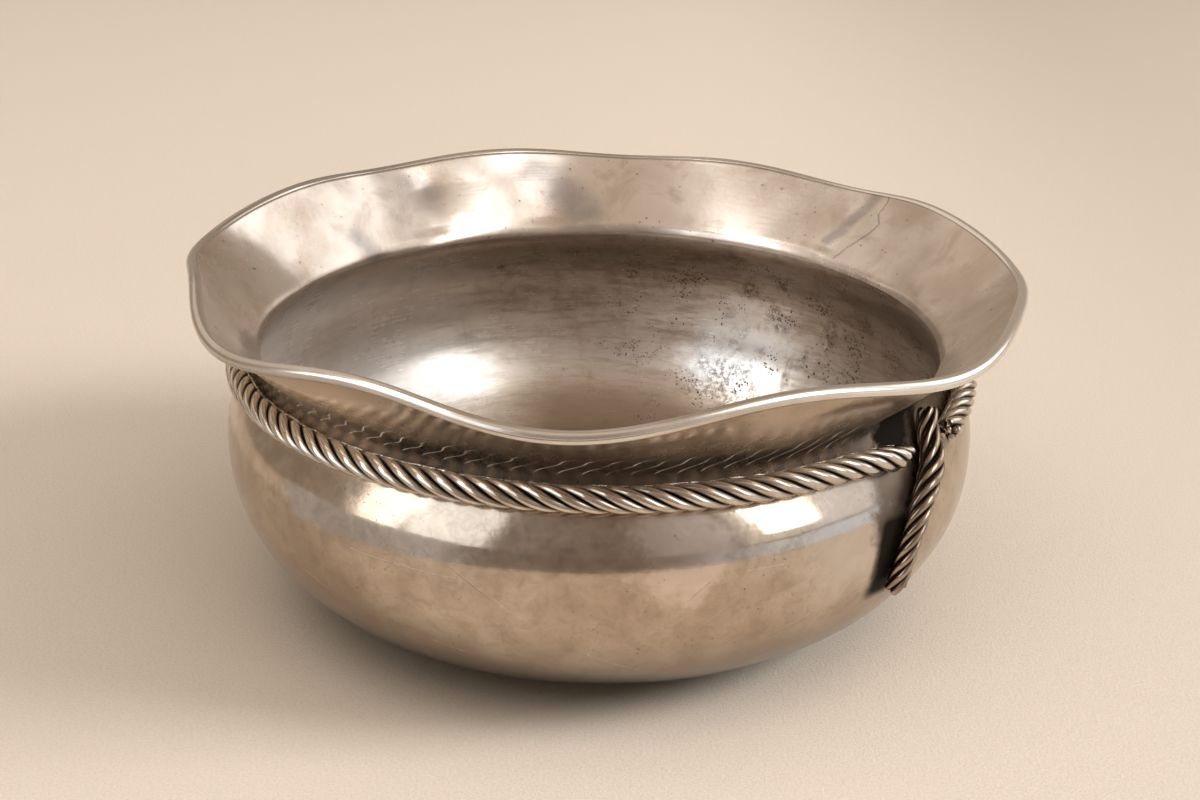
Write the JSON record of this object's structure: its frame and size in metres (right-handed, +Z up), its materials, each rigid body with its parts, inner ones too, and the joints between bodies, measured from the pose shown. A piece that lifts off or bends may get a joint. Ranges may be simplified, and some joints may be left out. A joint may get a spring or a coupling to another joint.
{
  "type": "silver plated bowl",
  "caption": "Round silver plated bowl shaped like a sack tied at the neck, with a wavy flared rim, a rim bead and a twisted wire rope with a hanging end.",
  "frame": {"origin": "centre of the flat base, on the surface that the bowl stands on", "axes": "+Z up along the bowl's axis; -Y towards the viewer of the picture, with the hanging rope end on the +X side of the front"},
  "size_m": [0.2381, 0.2392, 0.1033],
  "materials": {
    "shell_silver": "silver plate, polished outside and satin inside, slightly tarnished",
    "bead_silver": "silver plate, polished",
    "rope_silver": "silver plate, polished wire with tarnish between the turns"
  },
  "bodies": {
    "root": {"bowl_shell": "shell_silver", "rim_bead": "bead_silver", "band_core": "rope_silver", "band_strand_1": "rope_silver", "band_strand_2": "rope_silver", "band_strand_3": "rope_silver", "band_strand_4": "rope_silver", "band_strand_5": "rope_silver", "tassel_core": "rope_silver", "tassel_strand_1": "rope_silver", "tassel_strand_2": "rope_silver", "tassel_strand_3": "rope_silver", "tassel_strand_4": "rope_silver", "tassel_strand_5": "rope_silver"}
  },
  "joints": []
}
